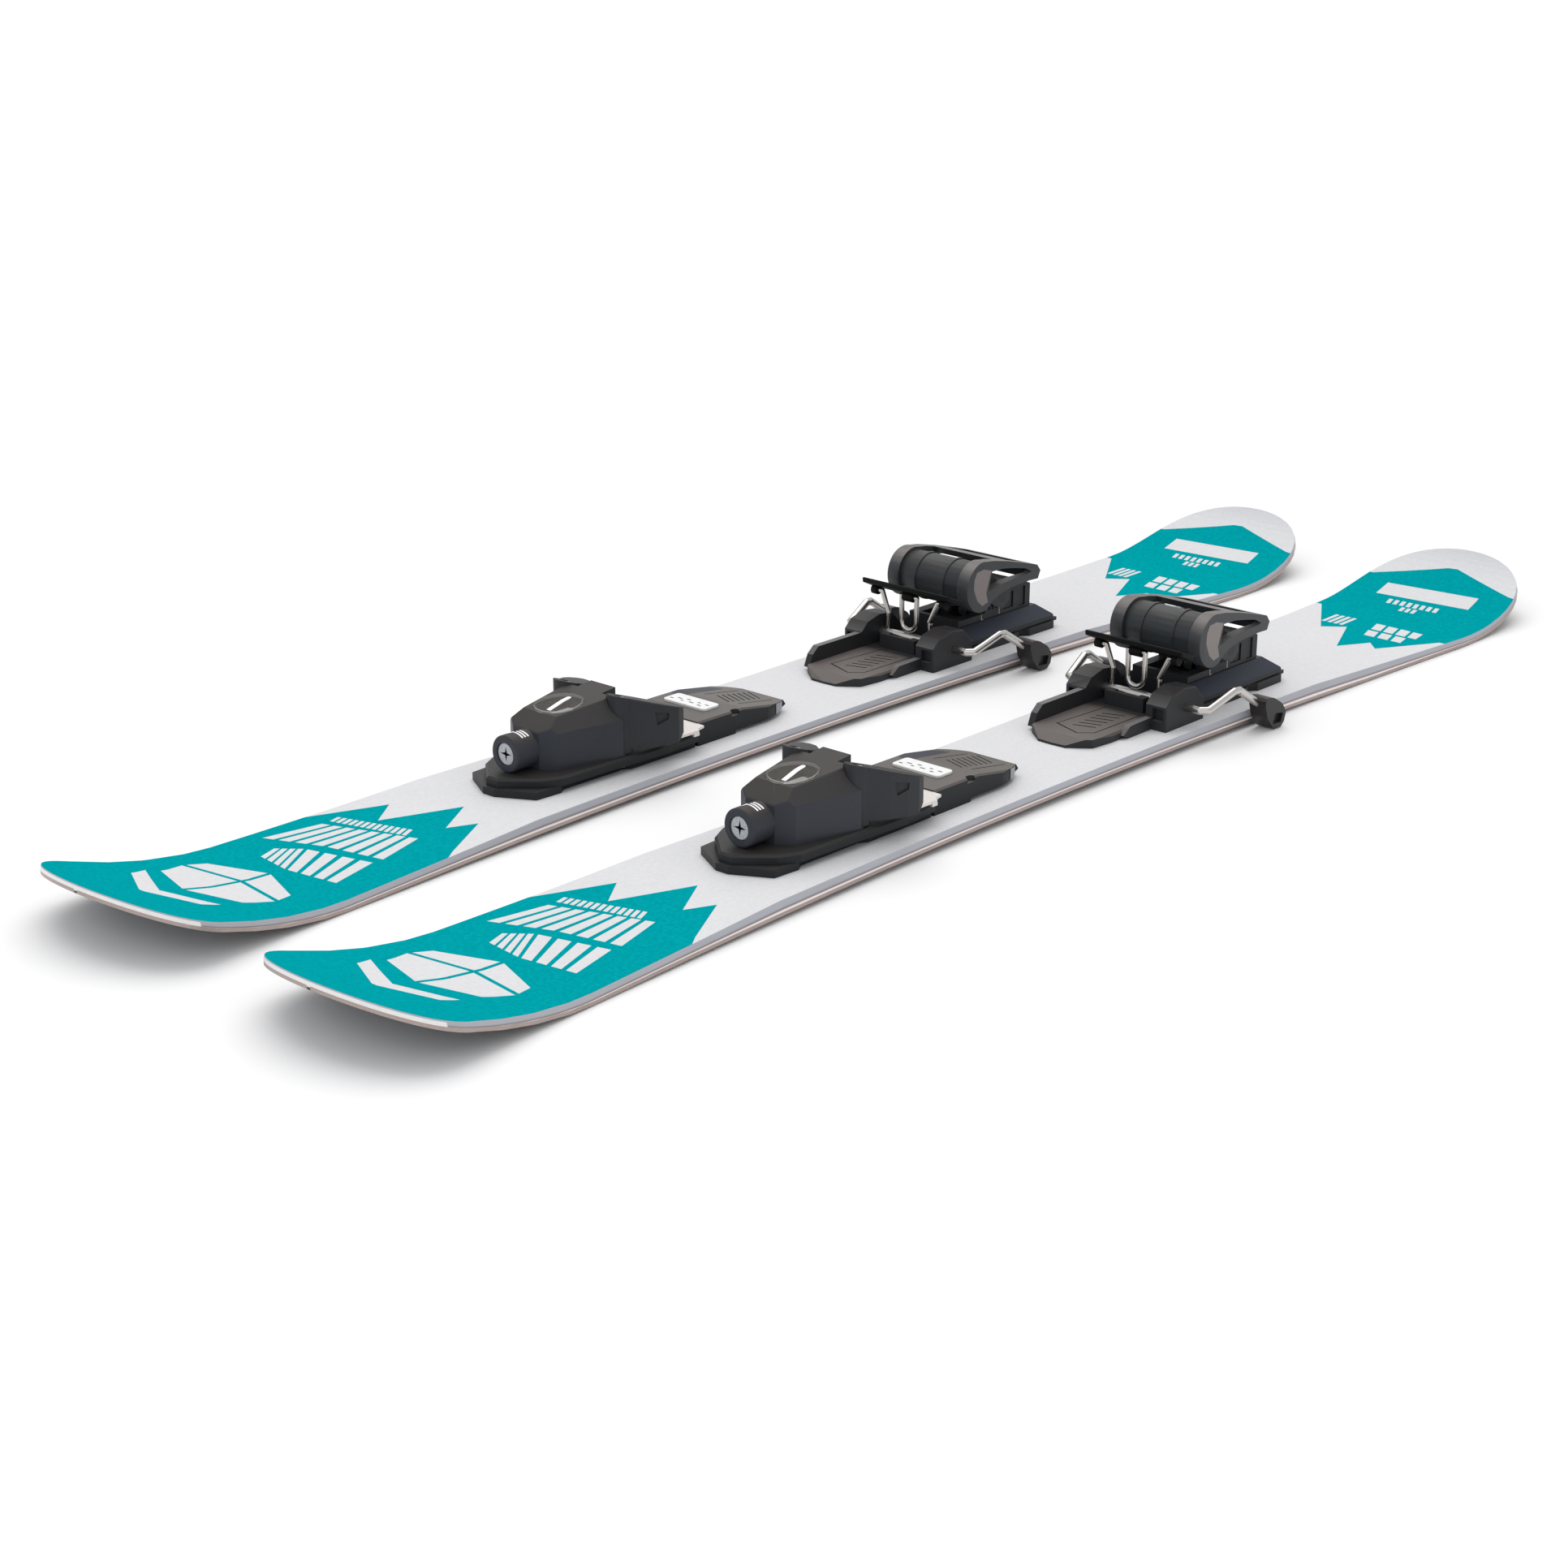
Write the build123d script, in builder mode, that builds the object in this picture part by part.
from build123d import *
import os
from math import exp, sqrt

os.makedirs("parts", exist_ok=True)

# A pair of short twin-tip alpine skis with step-in bindings.
# Frame: +X to the tips, +Y to the skier's left, +Z up, z = 0 is the floor.
# Lengths in mm. Each ski is drawn on y = 0 above a datum plane, then placed at
# +/- ski_pitch / 2 and lowered by drop, so that its two contact zones rest on z = 0.

# ---------- driving dimensions ----------
ski_pitch = 162.3            # centre line to centre line
x_tip, x_tail = 473.7, -473.7
x_waist, x_front_wide, x_rear_wide = 13.2, 437.8, -373.6
waist_w, front_w, rear_w = 85.0, 115.0, 110.0
nose_n, nose_m = 2.37, 1.91  # superellipse powers of the rounded ends
tail_n, tail_m = 4.83, 2.10
x_tip_rise, tip_rise, tip_pow = 360.8, 27.9, 1.80
x_tail_rise, tail_rise, tail_pow = -378.6, 25.9, 2.02
top_mid, top_end = 10.6, 6.0 # top surface above the drawing datum, under the binding and at the ends
drop = 1.5                   # the running surface touches the floor this far above the datum
camber = 3.0                 # arch between the two contact zones
x_contact_f, x_contact_r = 360.8, -275.0
t_waist = top_mid - drop - camber  # ski thickness at mid length
x_flat_f, x_flat_r = 232.0, -222.0
edge_w, edge_h = 2.0, 1.9    # steel edge section
base_h = 1.3                 # running base
skin_t, glass_t = 0.7, 0.6   # top sheet, upper glass
side_w = 6.0                 # sidewall width
core_front, core_rear = 400.0, -400.0
glue_gap = 0.02              # glue line around the core
bevel_w, bevel_h = 1.2, 3.1  # bevel of the top edge at mid length

z0 = top_mid                 # mounting plane of the binding
toe_axis_z = 29.5            # release spring axis of the toe piece
wing_px, wing_py = 149.0, 20.0
heel_px, heel_pz = -170.0, 38.0
lever_px, lever_pz = -141.0, 50.9
brake_px, brake_pz = -110.0, 21.0
pedal_pz = 46.0
heel_axis_z = 27.2


# ---------- ski surfaces ----------
def half_w(x):
    if x > x_front_wide:
        t = min((x - x_front_wide) / (x_tip - x_front_wide), 1)
        return front_w / 2 * max(1 - t**nose_n, 0) ** (1 / nose_m)
    if x < x_rear_wide:
        t = min((x_rear_wide - x) / (x_rear_wide - x_tail), 1)
        return rear_w / 2 * max(1 - t**tail_n, 0) ** (1 / tail_m)
    if x > x_waist:
        return waist_w / 2 + (front_w - waist_w) / 2 * ((x - x_waist) / (x_front_wide - x_waist)) ** 2
    return waist_w / 2 + (rear_w - waist_w) / 2 * ((x_waist - x) / (x_waist - x_rear_wide)) ** 2


def arch(x):
    if 0 <= x < x_contact_f:
        return camber * (1 - (x / x_contact_f) ** 2)
    if x_contact_r < x < 0:
        return camber * (1 - (x / x_contact_r) ** 2)
    return 0.0


def rise(x):
    # height of the running surface above the datum
    r = drop + arch(x)
    if x > x_tip_rise:
        r += tip_rise * ((x - x_tip_rise) / (x_tip - x_tip_rise)) ** tip_pow
    if x < x_tail_rise:
        r += tail_rise * ((x_tail_rise - x) / (x_tail_rise - x_tail)) ** tail_pow
    return r


def thick(x):
    # the top line is straight under the binding and falls towards both ends
    t = top_mid
    if x > x_flat_f:
        t = top_end + (top_mid - top_end) * (1 - (x - x_flat_f) / (x_tip - x_flat_f)) ** 2
    if x < x_flat_r:
        t = top_end + (top_mid - top_end) * (1 - (x_flat_r - x) / (x_flat_r - x_tail)) ** 2
    return t - drop - arch(x)


def side_y(x, h):
    # half width at height h above the running surface, with the bevelled top edge
    w, t = half_w(x), thick(x)
    bh = bevel_h * t / t_waist
    inset = min(bevel_w * t / t_waist, 0.45 * w)
    return w if h <= t - bh else w - inset * (h - (t - bh)) / bh


stations = [x_tail + (x_rear_wide - x_tail) * s for s in
            (0.0012, 0.006, 0.016, 0.035, 0.065, 0.105, 0.155, 0.215, 0.285, 0.36, 0.45, 0.56, 0.68, 0.80, 0.90, 1.0)]
stations += [x_rear_wide + (x_flat_r - x_rear_wide) * k / 5 for k in range(1, 6)]
stations += [x_flat_r + (x_flat_f - x_flat_r) * k / 12 for k in range(1, 13)]
stations += [x_flat_f + (x_front_wide - x_flat_f) * k / 10 for k in range(1, 11)]
stations += [x_front_wide + (x_tip - x_front_wide) * s for s in
             (0.1, 0.2, 0.3, 0.4, 0.5, 0.6, 0.69, 0.77, 0.84, 0.895, 0.935, 0.965, 0.984, 0.994, 0.9988)]
stations = sorted(set(stations + [core_front, core_rear, core_front + glue_gap, core_rear - glue_gap,
                                  0.0, x_contact_f, x_contact_r]))


def ruled(points_at, xs):
    # closed solid with flat facets through one closed polygon per station
    rings = [[Vector(x, y, z + rise(x)) for y, z in points_at(x)] for x in xs]
    faces = []

    def face(*pts):
        faces.append(Face(Wire.make_polygon(list(pts), close=True)))

    face(*rings[0])
    face(*rings[-1])
    for p, q in zip(rings, rings[1:]):
        n = len(p)
        for i in range(n):
            a, b, c, d = p[i], p[(i + 1) % n], q[(i + 1) % n], q[i]
            normal = (b - a).cross(d - a)
            off = abs((c - a).dot(normal)) / max(normal.length, 1e-9)
            if off < 1e-6:
                face(a, b, c, d)
            else:
                face(a, b, c)
                face(a, c, d)
    solid = Solid(Shell(faces))
    return solid.fix() if not solid.is_valid else solid


def base_pts(x):
    y = max(half_w(x) - edge_w, 0.4 * half_w(x))
    return [(-y, 0), (y, 0), (y, base_h), (-y, base_h)]


def edge_pts(side):
    def f(x):
        w = half_w(x)
        a = max(w - edge_w, 0.4 * w)
        return [(side * a, 0), (side * w, 0), (side * w, edge_h), (side * a, edge_h)]
    return f


def low_glass_pts(x):
    y = max(half_w(x) - edge_w, 0.4 * half_w(x))
    return [(-y, base_h), (y, base_h), (y, edge_h), (-y, edge_h)]


def body_levels(x):
    t = thick(x)
    return edge_h, t - bevel_h * t / t_waist, t - skin_t - glass_t


def full_body_pts(x):
    a, b, c = body_levels(x)
    w, wc = half_w(x), side_y(x, c)
    return [(-w, a), (w, a), (w, b), (wc, c), (-wc, c), (-w, b)]


def core_pts(x):
    a, b, c = body_levels(x)
    y = half_w(x) - side_w - glue_gap
    return [(-y, a), (y, a), (y, c), (-y, c)]


def wall_pts(side):
    def f(x):
        a, b, c = body_levels(x)
        w = half_w(x)
        y = w - side_w
        return [(side * y, a), (side * w, a), (side * w, b), (side * side_y(x, c), c), (side * y, c)]
    return f


def top_glass_pts(x):
    t = thick(x)
    a, b = t - skin_t - glass_t, t - skin_t
    ya, yb = side_y(x, a), side_y(x, b)
    return [(-ya, a), (ya, a), (yb, b), (-yb, b)]


def skin_pts(x):
    t = thick(x)
    a, b = t - skin_t, t
    ya, yb = side_y(x, a), side_y(x, b)
    return [(-ya, a), (ya, a), (yb, b), (-yb, b)]


mid = [x for x in stations if core_rear <= x <= core_front]
front = [x for x in stations if x > core_front]
rear = [x for x in stations if x < core_rear]

screw_xy = [(180, 13), (180, -13), (110, 15), (110, -15), (-145, 12), (-145, -12), (-192, 12), (-192, -12)]
screw_r = 2.7


def drill(bottom, height):
    with Locations(*[(x, y, bottom) for x, y in screw_xy]):
        Cylinder(screw_r + 0.05, height, align=(Align.CENTER, Align.CENTER, Align.MIN), mode=Mode.SUBTRACT)


with BuildPart() as running_base:
    add(ruled(base_pts, stations))

with BuildPart() as steel_edges:
    add(ruled(edge_pts(1), stations))
    add(ruled(edge_pts(-1), stations))

with BuildPart() as fibreglass_layers:
    add(ruled(low_glass_pts, stations))
    add(ruled(top_glass_pts, stations))
    drill(8, 20)

with BuildPart() as wood_core:
    add(ruled(core_pts, mid))
    drill(6.7, 20)

with BuildPart() as sidewalls_and_spacers:
    add(ruled(wall_pts(1), mid))
    add(ruled(wall_pts(-1), mid))
    # solid spacers that fill the tip and the tail beyond the core
    add(ruled(full_body_pts, front))
    add(ruled(full_body_pts, rear))

with BuildPart() as top_sheet:
    add(ruled(skin_pts, stations))
    drill(8, 20)


# ---------- drawing helpers ----------
def mirrored(pts):
    return pts + [(x, -y) for x, y in reversed(pts)]


def plate(pts, z_low, z_high, mode=Mode.ADD):
    # plan outline extruded between two heights
    with BuildSketch(Plane.XY.offset(z_low)) as outline:
        with BuildLine():
            Polyline(*pts, close=True)
        make_face()
    extrude(outline.sketch, amount=z_high - z_low, mode=mode)


def side_plate(pts, y_low, y_high, mode=Mode.ADD):
    # side outline (x, z) extruded between two y values
    with BuildSketch(Plane(origin=(0, y_high, 0), x_dir=(1, 0, 0), z_dir=(0, -1, 0))) as outline:
        with BuildLine():
            Polyline(*pts, close=True)
        make_face()
    extrude(outline.sketch, amount=y_high - y_low, mode=mode)


def rod(a, b, r, mode=Mode.ADD):
    # round bar from point a to point b
    d = Vector(*b) - Vector(*a)
    with BuildSketch(Plane(origin=a, z_dir=d)) as disc:
        Circle(r)
    extrude(disc.sketch, amount=d.length, mode=mode)


def ball(p, r):
    with Locations(p):
        Sphere(r)


def ease(op, edges, size):
    # edge break that steps down in size where the geometry is tight
    for k in (1.0, 0.7, 0.45, 0.25):
        try:
            op(edges, size * k)
            return
        except Exception:
            continue
    print("edge break left out:", len(edges), "edges at", size)


def coil(x_low, x_high, z, turns, radius, wire):
    # compression spring along X
    h = x_high - x_low
    path = Helix(pitch=h / turns, height=h, radius=radius, center=(x_low, 0, z), direction=(1, 0, 0))
    with BuildPart() as c:
        with BuildSketch(Plane(origin=path @ 0, z_dir=path % 0)):
            Circle(wire)
        sweep(path=path)
    return c.part


# ---------- toe piece ----------
ramp_side = [(95.4, z0), (66, z0), (66, 12.8), (22, 12.8), (18, 14.6), (20, 17.4), (60, 23.7), (95.4, 24.0)]

with BuildPart() as toe_base:
    plate(mirrored([(224, 4), (213, 24), (197, 25), (192, 22), (150, 22), (146, 25), (98, 25)]), z0, 14.6)
    plate(mirrored([(221.5, 4), (207, 20.5), (196, 26), (165, 27.5), (122, 30), (98, 28)]), 14.6, 19.5)
    ease(chamfer, toe_base.edges().filter_by(lambda e: abs(e.center().Z - 19.5) < 0.01), 1.2)
    plate(mirrored([(126, 20), (119, 27.5), (95.4, 27.5)]), 19.5, 22.0)
    side_plate(ramp_side, -25, 25)
    # rear end of the ramp rounded in plan
    with BuildSketch(Plane.XY.offset(z0 - 1)):
        with BuildLine():
            Polyline((17, -30), (48, -30), (48, -25))
            ThreePointArc((48, -25), (27, -20.5), (18, -8))
            Polyline((18, -8), (17, -8), (17, -30))
        make_face()
        with BuildLine():
            Polyline((17, 30), (48, 30), (48, 25))
            ThreePointArc((48, 25), (32, 23.4), (21, 18))
            Polyline((21, 18), (17, 18), (17, 30))
        make_face()
    extrude(amount=30, mode=Mode.SUBTRACT)
    ease(chamfer, toe_base.edges().filter_by(lambda e: 40 < e.center().X < 94 and abs(abs(e.center().Y) - 25) < 0.01 and e.center().Z > 20), 1.0)
    # seat of the spring housing and bores of the wing pins
    with Locations((wing_px, wing_py, 12), (wing_px, -wing_py, 12)):
        Cylinder(3.02, 12, align=(Align.CENTER, Align.CENTER, Align.MIN), mode=Mode.SUBTRACT)
    with Locations(*[(x, y, z0 - 1) for x, y in screw_xy[:4]]):
        Cylinder(screw_r + 0.05, 20, align=(Align.CENTER, Align.CENTER, Align.MIN), mode=Mode.SUBTRACT)
    with Locations(*[(x, y, 16.4) for x, y in screw_xy[:4]]):
        Cylinder(4.6, 20, align=(Align.CENTER, Align.CENTER, Align.MIN), mode=Mode.SUBTRACT)
    # ribbed tread panel on the ramp
    tread = Plane(origin=(40, 3, 20.55), x_dir=(-40, 0, -6.3), z_dir=(-6.3, 0, 40))
    with BuildSketch(tread):
        with Locations((0, 12.5), (0, -12.5)):
            Rectangle(28, 0.7)
        with Locations(*[((k - 3) * 4.2, 0) for k in range(7)]):
            Rectangle(0.9, 17, rotation=-24)
    extrude(amount=-0.6, mode=Mode.SUBTRACT)
    # small notch beside the ramp
    with Locations((66, 25, 24)):
        Cylinder(3.0, 6, mode=Mode.SUBTRACT)

top_n = (0.097, 0, 0.995)
with BuildPart() as toe_housing:
    plate(mirrored([(197, 16.5), (153.5, 26), (151, 26), (151, 9), (141, 9)]), 19.5, 56)
    split(bisect_by=Plane(origin=(188, 0, 46.3), z_dir=top_n), keep=Keep.BOTTOM)
    split(bisect_by=Plane(origin=(197, 0, 39.3), z_dir=(7.1, 0, 10)), keep=Keep.BOTTOM)
    split(bisect_by=Plane(origin=(197, 16, 39.5), z_dir=(50.7, 220.8, 207)), keep=Keep.BOTTOM)
    split(bisect_by=Plane(origin=(197, -16, 39.5), z_dir=(50.7, -220.8, 207)), keep=Keep.BOTTOM)
    split(bisect_by=Plane(origin=(197.3, 9, 30), z_dir=(10, 7, 0)), keep=Keep.BOTTOM)
    split(bisect_by=Plane(origin=(197.3, -9, 30), z_dir=(10, -7, 0)), keep=Keep.BOTTOM)
    ease(fillet, toe_housing.edges().filter_by(lambda e: e.center().Z > 30 and e.center().X > 155 and abs(e.center().Y) < 25 and e.length > 6), 1.3)
    # screw barrel at the nose
    rod((190, 0, toe_axis_z), (212, 0, toe_axis_z), 9.9)
    ease(chamfer, toe_housing.edges().filter_by(lambda e: e.center().X > 211.9), 0.8)
    # spring room, shaft bore, head seat
    rod((152, 0, toe_axis_z), (194, 0, toe_axis_z), 8.0, Mode.SUBTRACT)
    rod((190, 0, toe_axis_z), (206, 0, toe_axis_z), 3.1, Mode.SUBTRACT)
    rod((205.4, 0, toe_axis_z), (215, 0, toe_axis_z), 6.15, Mode.SUBTRACT)
    # window pocket and slot for the pointer of the setting nut
    win = Plane(origin=(173.5, 0, 47.9), x_dir=(0.995, 0, -0.097), z_dir=top_n)
    with BuildSketch(win):
        Ellipse(14.0, 13.2)
    extrude(amount=2, both=True, mode=Mode.SUBTRACT)
    with BuildSketch(win):
        Ellipse(12.6, 11.8)
    extrude(amount=-7, mode=Mode.SUBTRACT)
    with Locations((183.15, 0, 36.15)):
        Box(14.3, 5.2, 14.3, mode=Mode.SUBTRACT)
    # room for the wing roots
    with Locations((wing_px, wing_py, 20.4), (wing_px, -wing_py, 20.4)):
        Cylinder(7.0, 40, align=(Align.CENTER, Align.CENTER, Align.MIN), mode=Mode.SUBTRACT)
        Cylinder(3.05, 10, mode=Mode.SUBTRACT)
    # recessed side panels
    for s in (1, -1):
        side = Plane(origin=(175.2, s * 21.26, 27.5), x_dir=(-43.5, s * 9.5, 0), z_dir=(9.5, s * 43.5, 0))
        flip = 1 if s > 0 else -1
        with BuildSketch(side):
            with BuildLine():
                Polyline(*[(u, flip * v) for u, v in ((-14, -4.6), (-13, -0.5), (6, 8.2), (5, -4.6))], close=True)
            make_face()
            with BuildLine():
                Polyline(*[(u, flip * v) for u, v in ((9.5, -3), (15, 10.5), (17.5, 11), (14, -3))], close=True)
            make_face()
        extrude(amount=-0.9, mode=Mode.SUBTRACT)
        with BuildSketch(side.offset(-0.9)):
            with BuildLine():
                Polyline(*[(u, flip * v) for u, v in ((-10.5, -3.6), (-10, -2.6), (4.6, 4.2), (4.4, 2.6))], close=True)
            make_face()
        extrude(amount=0.9)


def wing(s):
    with BuildPart() as w:
        plate([(149, s * 14), (143.5, s * 13.4), (136, s * 16.5), (128, s * 23), (120, s * 31.5), (119.2, s * 37.2),
               (124, s * 38.6), (131, s * 37.2), (139, s * 33.4), (145.5, s * 28.6), (149, s * 26.4)], 22.8, 52)
        with Locations((wing_px, s * wing_py, 20.6)):
            Cylinder(6.6, 31.4, align=(Align.CENTER, Align.CENTER, Align.MIN))
        split(bisect_by=Plane(origin=(150, 0, 50.6), z_dir=(-0.30, 0, 0.954)), keep=Keep.BOTTOM)
        split(bisect_by=Plane(origin=(124.5, 0, 22.8), z_dir=(-0.62, 0, -0.78)), keep=Keep.BOTTOM)
        ease(fillet, w.edges().filter_by(lambda e: e.center().X < 148 and e.center().Z > 38 and e.length > 4), 0.9)
        with Locations((wing_px, s * wing_py, 0)):
            Cylinder(3.06, 140, mode=Mode.SUBTRACT)
        # stepped outer skin and the slanted recess near the rear end
        face = Plane(origin=(135.2, s * 35.6, 36), x_dir=(-8, s * 3.8, 0), z_dir=(3.8, s * 8, 0))
        f = 1 if s > 0 else -1
        with BuildSketch(face):
            with BuildLine():
                Polyline(*[(u, f * v) for u, v in ((-2.5, 5.5), (5.5, 4.2), (5.0, 1.0), (-1.2, -1.6))], close=True)
            make_face()
        extrude(amount=-1.6, both=True, mode=Mode.SUBTRACT)
    return w.part


with BuildPart() as toe_wing_left:
    add(wing(1))

with BuildPart() as toe_wing_right:
    add(wing(-1))

with BuildPart() as toe_wing_pins:
    for s in (1, -1):
        rod((wing_px, s * wing_py, 12), (wing_px, s * wing_py, 49.2), 3.0)

with BuildPart() as toe_din_screw:
    rod((158, 0, toe_axis_z), (206, 0, toe_axis_z), 3.0)
    rod((205.5, 0, toe_axis_z), (211.2, 0, toe_axis_z), 6.0)
    ease(fillet, toe_din_screw.edges().filter_by(lambda e: e.center().X > 211), 0.5)
    # four-point driver recess
    with BuildSketch(Plane(origin=(209.6, 0, toe_axis_z), x_dir=(0, 1, 0), z_dir=(1, 0, 0))):
        for a in (0, 90):
            with BuildLine():
                p = Polyline((-4.1, 0), (-0.75, 0.75), (0, 4.1), (0.75, 0.75), (4.1, 0), (0.75, -0.75), (0, -4.1), (-0.75, -0.75), close=True)
            make_face()
            break
    extrude(amount=3, mode=Mode.SUBTRACT)

with BuildPart() as toe_din_nut:
    # setting nut with its pointer bar under the window
    with Locations((188.5, 0, toe_axis_z)):
        Box(5, 9.4, 9.4)
    rod((180, 0, toe_axis_z), (200, 0, toe_axis_z), 3.06, Mode.SUBTRACT)
    with Locations((187, 0, 37.9)):
        Box(2, 4, 8)
    with Locations((176, 0, 42.4)):
        Box(24, 4, 1.2)
    ease(fillet, toe_din_nut.edges().filter_by(Axis.Z).filter_by(lambda e: e.center().X < 167), 1.8)

with BuildPart() as toe_spring:
    add(coil(161.5, 184.5, toe_axis_z, 6, 5.9, 1.1))

with BuildPart() as toe_window:
    with BuildSketch(win):
        Ellipse(13.9, 13.1)
    extrude(amount=-1.9)
    with BuildSketch(win):
        Ellipse(13.0, 12.2)
    extrude(amount=0.5, taper=25)

with BuildPart() as toe_slide_pad:
    with Locations((73.5, -1, 24.6)):
        Box(13, 31, 1.4)
    ease(fillet, toe_slide_pad.edges().filter_by(Axis.Z), 2.2)
    ease(fillet, toe_slide_pad.faces().sort_by(Axis.Z)[-1].edges(), 0.4)
    with Locations((73.5, -1, 23.0)):
        Box(40, 40, 1.9, mode=Mode.SUBTRACT)

with BuildPart() as toe_steel_plate:
    plate(mirrored([(119, 24), (117.5, 32.5), (103, 33), (101.5, 30.6), (95.6, 29.5)]), 22.0, 23.4)
    for s in (1, -1):
        with Locations((104.5, s * 32.0, 21.1)):
            Box(4, 1.6, 1.8)
    with Locations((110, 15, 22), (110, -15, 22)):
        Cylinder(4.6, 8, mode=Mode.SUBTRACT)

# ---------- heel piece ----------
tongue = [(-34, 0.01), (-34.4, 9), (-43.6, 20.4), (-58, 22), (-92, 22), (-93, 34), (-127, 34), (-131, 28.5), (-213, 28.5), (-218.5, 22)]
with BuildPart() as heel_track:
    plate(mirrored(tongue[:1] + tongue[1:]), z0, 15.4)
    # rounded-off front edge of the tongue
    split(bisect_by=Plane(origin=(-35.5, 0, 12.6), z_dir=(4.0, 0, 8)), keep=Keep.BOTTOM)
    ease(chamfer, heel_track.edges().filter_by(lambda e: abs(e.center().Z - 15.4) < 0.02 and -91 < e.center().X < -50 and abs(abs(e.center().Y) - 22) < 0.5), 1.2)
    # side lips
    side_plate([(-52, z0), (-46, 13), (-49, 20), (-54, 24), (-94, 24), (-94, z0)], -25.2, -21.2)
    side_plate([(-70, z0), (-66, 13), (-72, 17.2), (-94, 17.6), (-94, z0)], 20.6, 24.4)
    # brackets that carry the brake
    for s in (1, -1):
        lo, hi = (20.4, 34.0) if s > 0 else (-34.0, -20.4)
        side_plate([(-91.5, z0), (-91.5, 24.5), (-97, 29.6), (-108, 32.2), (-119, 30.8), (-127.5, 22), (-127.5, z0)], lo, hi)
    ease(chamfer, heel_track.edges().filter_by(lambda e: abs(abs(e.center().Y) - 34) < 0.01 and e.center().Z > 16), 1.4)
    # cross wall in front of the brake pin
    with Locations((-102, 0, 15.4)):
        Box(5.6, 26, 8.3, align=(Align.CENTER, Align.CENTER, Align.MIN))
    # notch the pressed pedal wire drops into
    with Locations((-103.1, 0, 20.2)):
        Box(3.8, 15.6, 8.0, align=(Align.CENTER, Align.CENTER, Align.MIN), mode=Mode.SUBTRACT)
    # raised rails the heel body runs on
    for s in (1, -1):
        with Locations((-176, s * 24.6, 14.4)):
            Box(84, 4.4, 2.0, align=(Align.CENTER, Align.CENTER, Align.MIN))
    # bores
    rod((brake_px, -24.0, brake_pz), (brake_px, 24.0, brake_pz), 3.05, Mode.SUBTRACT)
    rod((brake_px, 24.6, brake_pz), (brake_px, 36.0, brake_pz), 2.35, Mode.SUBTRACT)
    rod((brake_px, -36.0, brake_pz), (brake_px, -24.6, brake_pz), 2.35, Mode.SUBTRACT)
    # relief pockets in the front faces of the brackets
    for s in (1, -1):
        with Locations((-92, s * 28.2, 19.6)):
            Box(5, 7.2, 7.0, mode=Mode.SUBTRACT)
    # notch in each rear flank
    with Locations((-184, 30, 14), (-184, -30, 14)):
        Cylinder(5.5, 10, mode=Mode.SUBTRACT)
    with Locations(*[(x, y, z0 - 1) for x, y in screw_xy[4:]]):
        Cylinder(screw_r + 0.05, 20, align=(Align.CENTER, Align.CENTER, Align.MIN), mode=Mode.SUBTRACT)
    with Locations(*[(x, y, 12.7) for x, y in screw_xy[4:]]):
        Cylinder(4.6, 20, align=(Align.CENTER, Align.CENTER, Align.MIN), mode=Mode.SUBTRACT)
    # outlined tread panel on the tongue
    with BuildSketch(Plane.XY.offset(15.4)):
        with BuildLine():
            Polyline((-54, -12), (-47.5, 6.5), (-54, 14), (-96, 14.5), (-96, -9), (-54, -12))
        make_face()
        with BuildLine():
            Polyline((-54.9, -11.3), (-48.4, 6.3), (-54.4, 13.3), (-95.3, 13.8), (-95.3, -8.4), (-54.9, -11.3))
        make_face(mode=Mode.SUBTRACT)
        with Locations(*[(-60 - 5.4 * k, 2.5) for k in range(6)]):
            Rectangle(1.1, 13, rotation=18)
    extrude(amount=-0.6, mode=Mode.SUBTRACT)


def yz_prism(pts, x_low, x_high, mode=Mode.ADD):
    # lateral section (y, z) extruded along X
    with BuildSketch(Plane(origin=(x_low, 0, 0), x_dir=(0, 1, 0), z_dir=(1, 0, 0))) as section:
        with BuildLine():
            Polyline(*pts, close=True)
        make_face()
    extrude(section.sketch, amount=x_high - x_low, mode=mode)


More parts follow.
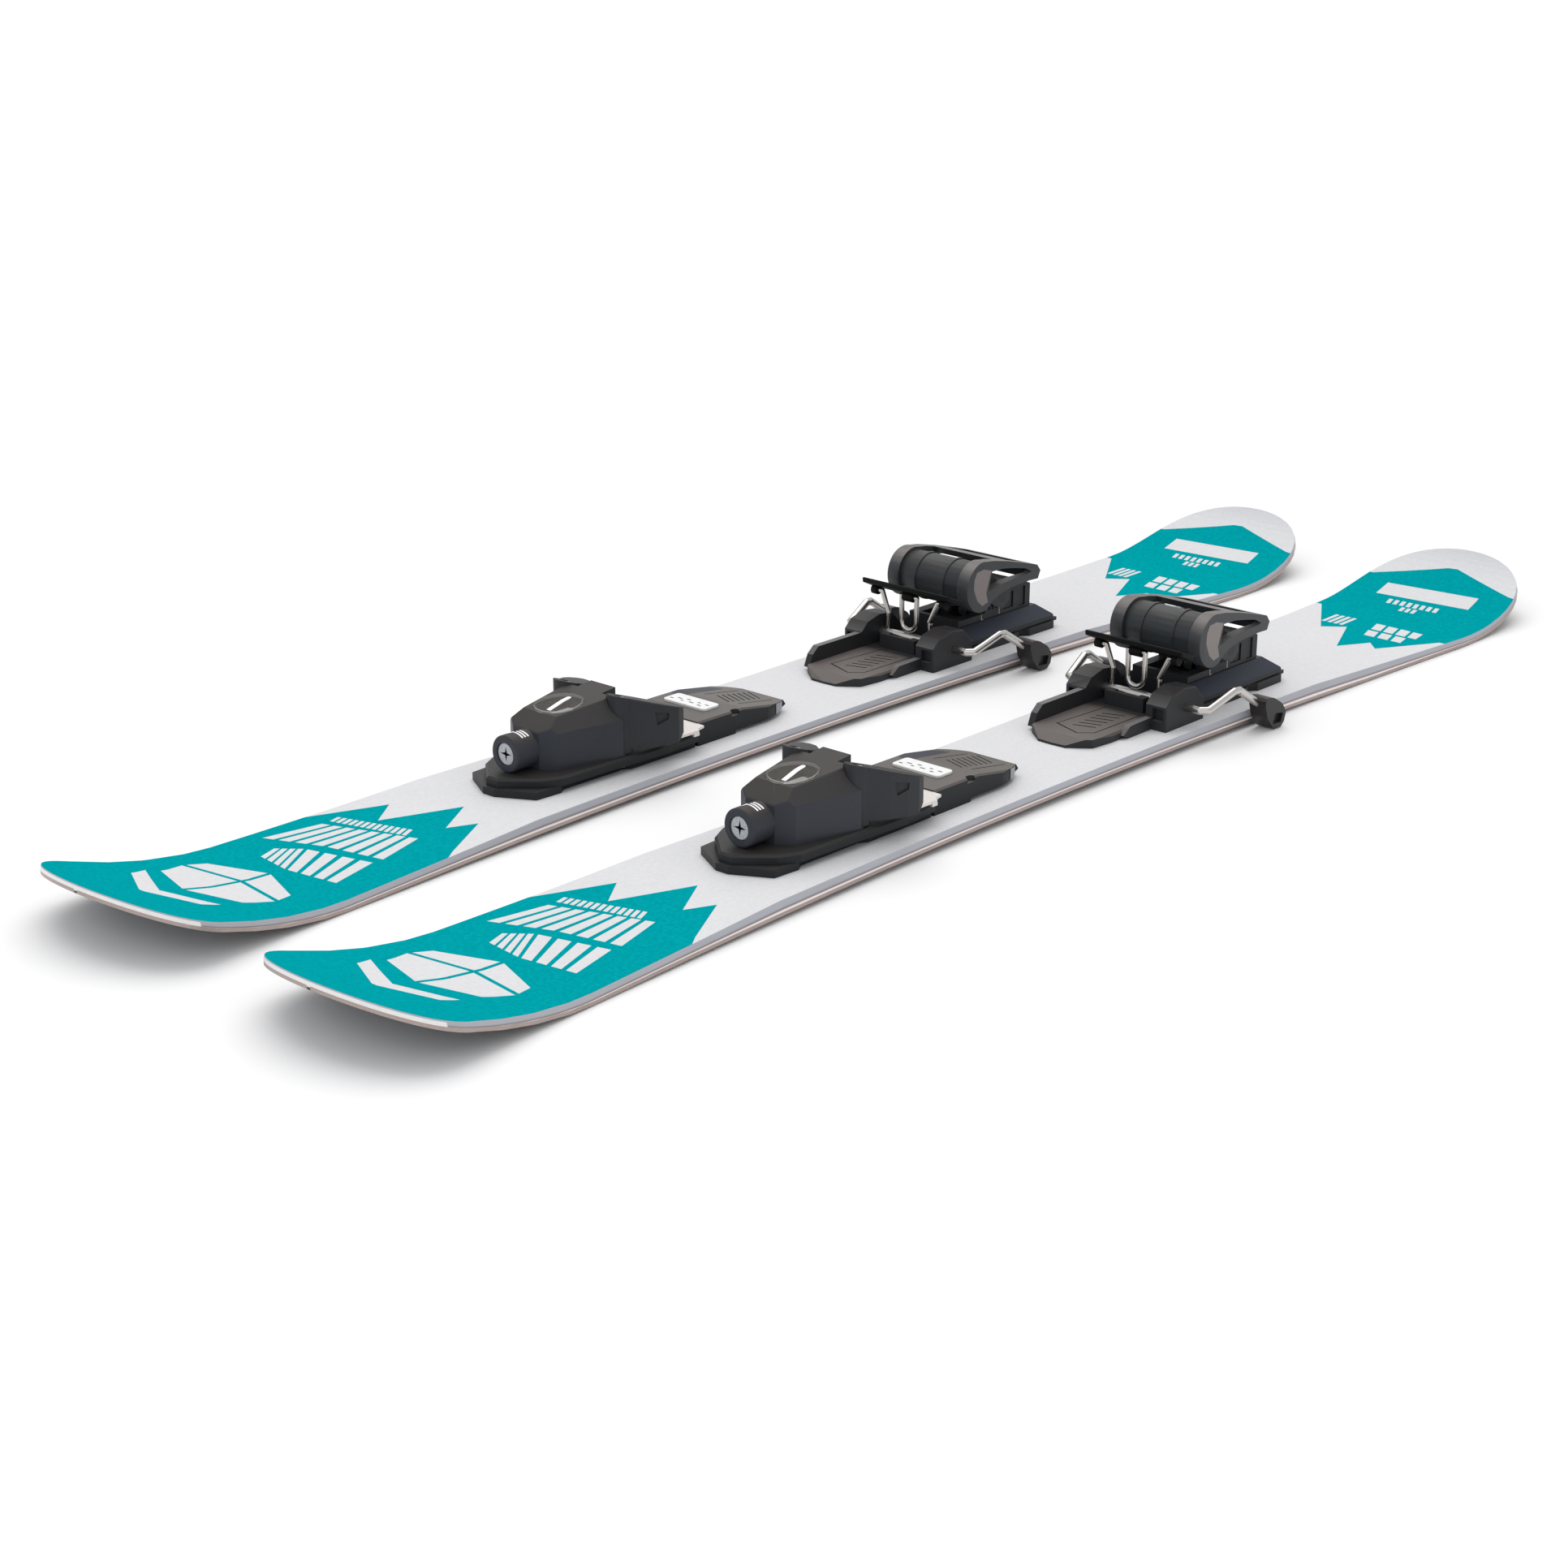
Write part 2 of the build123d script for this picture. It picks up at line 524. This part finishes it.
with BuildPart() as heel_housing:
    yz_prism([(-28, 16.5), (-22.3, 16.5), (-22.3, 15.5), (22.3, 15.5), (22.3, 16.5), (28, 16.5), (28, 19), (19.6, 25.6), (-19.6, 25.6), (-28, 19)], -213, -133)
    split(bisect_by=Plane(origin=(-213, 0, 19.5), z_dir=(-6.5, 0, 8)), keep=Keep.BOTTOM)
    yz_prism([(-18.6, 25.6), (18.6, 25.6), (18.6, 44.5), (-18.6, 44.5)], -203.5, -158)
    split(bisect_by=Plane(origin=(-203.5, 0, 38.6), z_dir=(-4, 0, 10)), keep=Keep.BOTTOM)
    yz_prism([(-18.6, 25.6), (18.6, 25.6), (18.6, 29.5), (-18.6, 29.5)], -158, -133)
    ease(chamfer, heel_housing.edges().filter_by(lambda e: abs(e.center().X + 203.5) < 0.05 and abs(abs(e.center().Y) - 18.6) < 0.05), 2.2)
    rod((-199, 0, heel_axis_z), (-152, 0, heel_axis_z), 6.6, Mode.SUBTRACT)
    rod((-215, 0, heel_axis_z), (-190, 0, heel_axis_z), 3.1, Mode.SUBTRACT)
    rod((-215, 0, heel_axis_z), (-201.5, 0, heel_axis_z), 6.1, Mode.SUBTRACT)
    rod((heel_px, -30, heel_pz), (heel_px, 30, heel_pz), 3.55, Mode.SUBTRACT)
    with Locations((-147, 0, 33)):
        Box(22, 24, 14, mode=Mode.SUBTRACT)
    # flutes and pockets in the side walls
    for s in (1, -1):
        with Locations((-180, s * 18.6, 33)):
            Box(10, 1.6, 10, mode=Mode.SUBTRACT)
        with Locations((-193.5, s * 18.6, 33)):
            Box(6, 1.6, 12, mode=Mode.SUBTRACT)
        with Locations(*[(x, s * 18.6, 32.6) for x in (-162.0, -165.2, -168.4, -171.6)]):
            Box(1.2, 1.2, 4, mode=Mode.SUBTRACT)


def arm_side():
    return [(-141, 62.9), (-152, 58.9), (-168, 46.5), (-177.5, 41.5), (-177.5, 35), (-171, 30.6), (-163, 33.5), (-156, 38.5), (-141, 38.9)]


with BuildPart() as heel_cup:
    rod((lever_px, -22, lever_pz), (lever_px, 22, lever_pz), 13.6)
    side_plate([(-141, 64.5), (-150, 62.0), (-155, 56.4), (-154, 44), (-141, 37.3)], -22, 22)
    for s in (1, -1):
        lo, hi = (18.9, 22.0) if s > 0 else (-22.0, -18.9)
        side_plate(arm_side(), lo, hi)
    # hollow of the cup that takes the boot heel
    side_plate([(-124, 30), (-124, 43.4), (-131, 45.4), (-134, 30)], -17, 17, Mode.SUBTRACT)
    # two raised ribs across the face
    for y in (-10.5, 10.5):
        rod((lever_px, y - 0.8, lever_pz), (lever_px, y + 0.8, lever_pz), 14.3)
    rod((lever_px, -30, lever_pz), (lever_px, 30, lever_pz), 3.02, Mode.SUBTRACT)
    rod((heel_px, -30, heel_pz), (heel_px, 30, heel_pz), 3.52, Mode.SUBTRACT)

loop_outer = [(-141, 66.0), (-152, 64.6), (-167, 61.3), (-184, 56.8), (-198, 52.7), (-201.5, 48.6), (-199, 44.0), (-190, 44.6),
              (-178, 44.6), (-168, 44.2), (-158, 42.6), (-150, 39.4), (-145, 36.4), (-141, 35.8)]
loop_hole = [(-150.6, 58.4), (-146.9, 47.0), (-152, 46.9), (-160, 48.8), (-175, 49.2), (-189.6, 48.9), (-192, 49.8), (-185.2, 53.2),
             (-170, 56.4), (-162, 57.8)]
with BuildPart() as heel_lever:
    for s in (1, -1):
        lo, hi = (22.2, 30.2) if s > 0 else (-30.2, -22.2)
        rod((lever_px, lo, lever_pz), (lever_px, hi, lever_pz), 15.1)
        side_plate(loop_outer, lo, hi)
        side_plate(loop_hole, lo, hi, Mode.SUBTRACT)
    # grip bar across the rear end
    side_plate([(-190, 55.0), (-198, 52.7), (-201.5, 48.6), (-199, 44.0), (-195.5, 44.2), (-196, 48.2), (-190, 51.2)], -22.2, 22.2)
    # bridge behind the cup
    side_plate([(-159, 63.0), (-166, 61.5), (-172, 60.0), (-172, 56.0), (-160.5, 59.2)], -22.2, 22.2)
    # side faces drawn in towards the rear
    split(bisect_by=Plane(origin=(-131, 30.2, 0), z_dir=(-4.6, 76, 0)), keep=Keep.BOTTOM)
    split(bisect_by=Plane(origin=(-131, -30.2, 0), z_dir=(-4.6, -76, 0)), keep=Keep.BOTTOM)
    rod((lever_px, -29, lever_pz), (lever_px, 29, lever_pz), 3.06, Mode.SUBTRACT)

with BuildPart() as heel_pins:
    rod((lever_px, -28.6, lever_pz), (lever_px, 28.6, lever_pz), 3.0)
    rod((heel_px, -22.0, heel_pz), (heel_px, 22.0, heel_pz), 3.5)

with BuildPart() as heel_spring:
    add(coil(-196, -163, heel_axis_z, 8, 4.9, 1.05))

with BuildPart() as heel_din_screw:
    rod((-201.6, 0, heel_axis_z), (-160, 0, heel_axis_z), 3.0)
    rod((-205.2, 0, heel_axis_z), (-201.6, 0, heel_axis_z), 6.0)
    with Locations((-205.2, 0, heel_axis_z)):
        Box(3, 8.4, 1.4, mode=Mode.SUBTRACT)

# ---------- brake ----------
with BuildPart() as brake_pedal:
    side_plate([(-104.4, 53.6), (-104.9, 50.2), (-116.6, 44.9), (-117.6, 48.0)], -32, 33)
    ease(fillet, brake_pedal.edges().filter_by(Axis.Y), 0.8)
    ease(chamfer, brake_pedal.edges().filter_by(lambda e: abs(abs(e.center().Y - 0.5) - 32.5) < 0.1 and e.length > 6), 0.6)
    # bearing lugs under the plate, bored for the bent wire ends
    for a, b in ((-27.2, -23.2), (-3.6, 3.6), (24.2, 28.2)):
        rod((brake_px, a, pedal_pz), (brake_px, b, pedal_pz), 2.9)
    rod((brake_px, -26.4, pedal_pz), (brake_px, 27.4, pedal_pz), 1.56, Mode.SUBTRACT)

pin_top = brake_pz + 3.0
with BuildPart() as brake_pedal_wires:
    for s, y in ((-1, -20.6), (1, 21.6)):
        rod((brake_px, s * 15.6, 33.5), (brake_px, y, pedal_pz), 1.5)
        ball((brake_px, s * 15.6, 33.5), 1.5)
        rod((brake_px, s * 15.6, 33.5), (brake_px, s * 16.4, 22.6), 1.5)
        ball((brake_px, y, pedal_pz), 1.5)
        rod((brake_px, y, pedal_pz), (brake_px, y + s * 5.6, pedal_pz), 1.5)
    with BuildPart(mode=Mode.PRIVATE) as loop:
        with BuildSketch(Plane(origin=(brake_px, 5.6, 31.4), z_dir=(0, 0, 1))):
            Circle(1.5)
        revolve(axis=Axis((brake_px, 0, 31.4), (1, 0, 0)), revolution_arc=-180)
    add(loop.part)
    for y in (-5.6, 5.6):
        rod((brake_px, y, 31.4), (brake_px, y, pedal_pz), 1.5)
        ball((brake_px, y, pedal_pz), 1.5)
        rod((brake_px, y, pedal_pz), (brake_px, y * 0.25, pedal_pz), 1.5)

with BuildPart() as brake_pedal_pin:
    rod((brake_px, -23.8, brake_pz), (brake_px, 23.8, brake_pz), 3.0)
    for s in (1, -1):
        rod((brake_px, s * 15.6, 33.5), (brake_px, s * 16.4, 22.6), 1.52, Mode.SUBTRACT)

with BuildPart() as brake_arms:
    for s in (1, -1):
        pts = [(brake_px, s * 24.8, brake_pz), (brake_px, s * 43.0, brake_pz), (-112.5, s * 47.0, brake_pz + 0.4), (-131.0, s * 50.5, 28.6),
               (-135.2, s * 50.9, 28.4), (-152.0, s * 52.2, 17.6), (-163.0, s * 53.6, 11.2)]
        for a, b in zip(pts, pts[1:]):
            rod(a, b, 2.3)
        for p in pts[1:-1]:
            ball(p, 2.3)

foot_side = [(-150.0, 19.0), (-152.8, 21.6), (-159.0, 20.2), (-167.0, 15.4), (-171.4, 9.8), (-170.0, 4.4), (-167.0, 1.8), (-159.6, 2.2), (-152.8, 9.8)]
with BuildPart() as brake_feet:
    for s in (1, -1):
        lo, hi = (48.0, 59.0) if s > 0 else (-59.0, -48.0)
        side_plate(foot_side, lo, hi)
        # scooped outer face
        a, b = (56.8, 61) if s > 0 else (-61, -56.8)
        side_plate([(-160.0, 11.0), (-168.6, 9.6), (-166.6, 4.4), (-158.6, 4.8)], a, b, Mode.SUBTRACT)
    ease(chamfer, brake_feet.edges().filter_by(Axis.Y).filter_by(lambda e: e.center().Z > 5), 0.9)
    for s in (1, -1):
        p = [(-131.0, s * 50.5, 28.6), (-135.2, s * 50.9, 28.4), (-152.0, s * 52.2, 17.6), (-163.0, s * 53.6, 11.2)]
        rod(p[1], p[2], 2.3, Mode.SUBTRACT)
        rod(p[2], p[3], 2.3, Mode.SUBTRACT)
        with Locations(p[2]):
            Sphere(2.3, mode=Mode.SUBTRACT)

with BuildPart() as binding_screws:
    for k, (x, y) in enumerate(screw_xy):
        seat = 16.4 if k < 4 else 12.7
        rod((x, y, 6.8), (x, y, seat), screw_r)
        rod((x, y, seat), (x, y, seat + 2.2), 4.4)
        with Locations((x, y, seat + 2.2)):
            Box(5.0, 1.2, 2.2, mode=Mode.SUBTRACT)
            Box(1.2, 5.0, 2.2, mode=Mode.SUBTRACT)

pieces = {
    "running_base": running_base.part, "steel_edges": steel_edges.part, "fibreglass_layers": fibreglass_layers.part,
    "wood_core": wood_core.part, "sidewalls_and_spacers": sidewalls_and_spacers.part, "top_sheet": top_sheet.part,
    "toe_base": toe_base.part, "toe_housing": toe_housing.part, "toe_wing_left": toe_wing_left.part,
    "toe_wing_right": toe_wing_right.part, "toe_wing_pins": toe_wing_pins.part, "toe_din_screw": toe_din_screw.part,
    "toe_din_nut": toe_din_nut.part, "toe_spring": toe_spring.part, "toe_window": toe_window.part,
    "toe_slide_pad": toe_slide_pad.part, "toe_steel_plate": toe_steel_plate.part,
    "heel_track": heel_track.part, "heel_housing": heel_housing.part, "heel_cup": heel_cup.part,
    "heel_lever": heel_lever.part, "heel_pins": heel_pins.part, "heel_spring": heel_spring.part,
    "heel_din_screw": heel_din_screw.part, "brake_pedal": brake_pedal.part, "brake_pedal_wires": brake_pedal_wires.part,
    "brake_pedal_pin": brake_pedal_pin.part, "brake_arms": brake_arms.part, "brake_feet": brake_feet.part,
    "binding_screws": binding_screws.part,
}
for side, dy in (("left", ski_pitch / 2), ("right", -ski_pitch / 2)):
    for name, shape in pieces.items():
        moved = shape.moved(Location((0, dy, -drop)))
        moved.label = f"{side}_{name}"
        export_step(moved, f"parts/{side}_{name}.step")
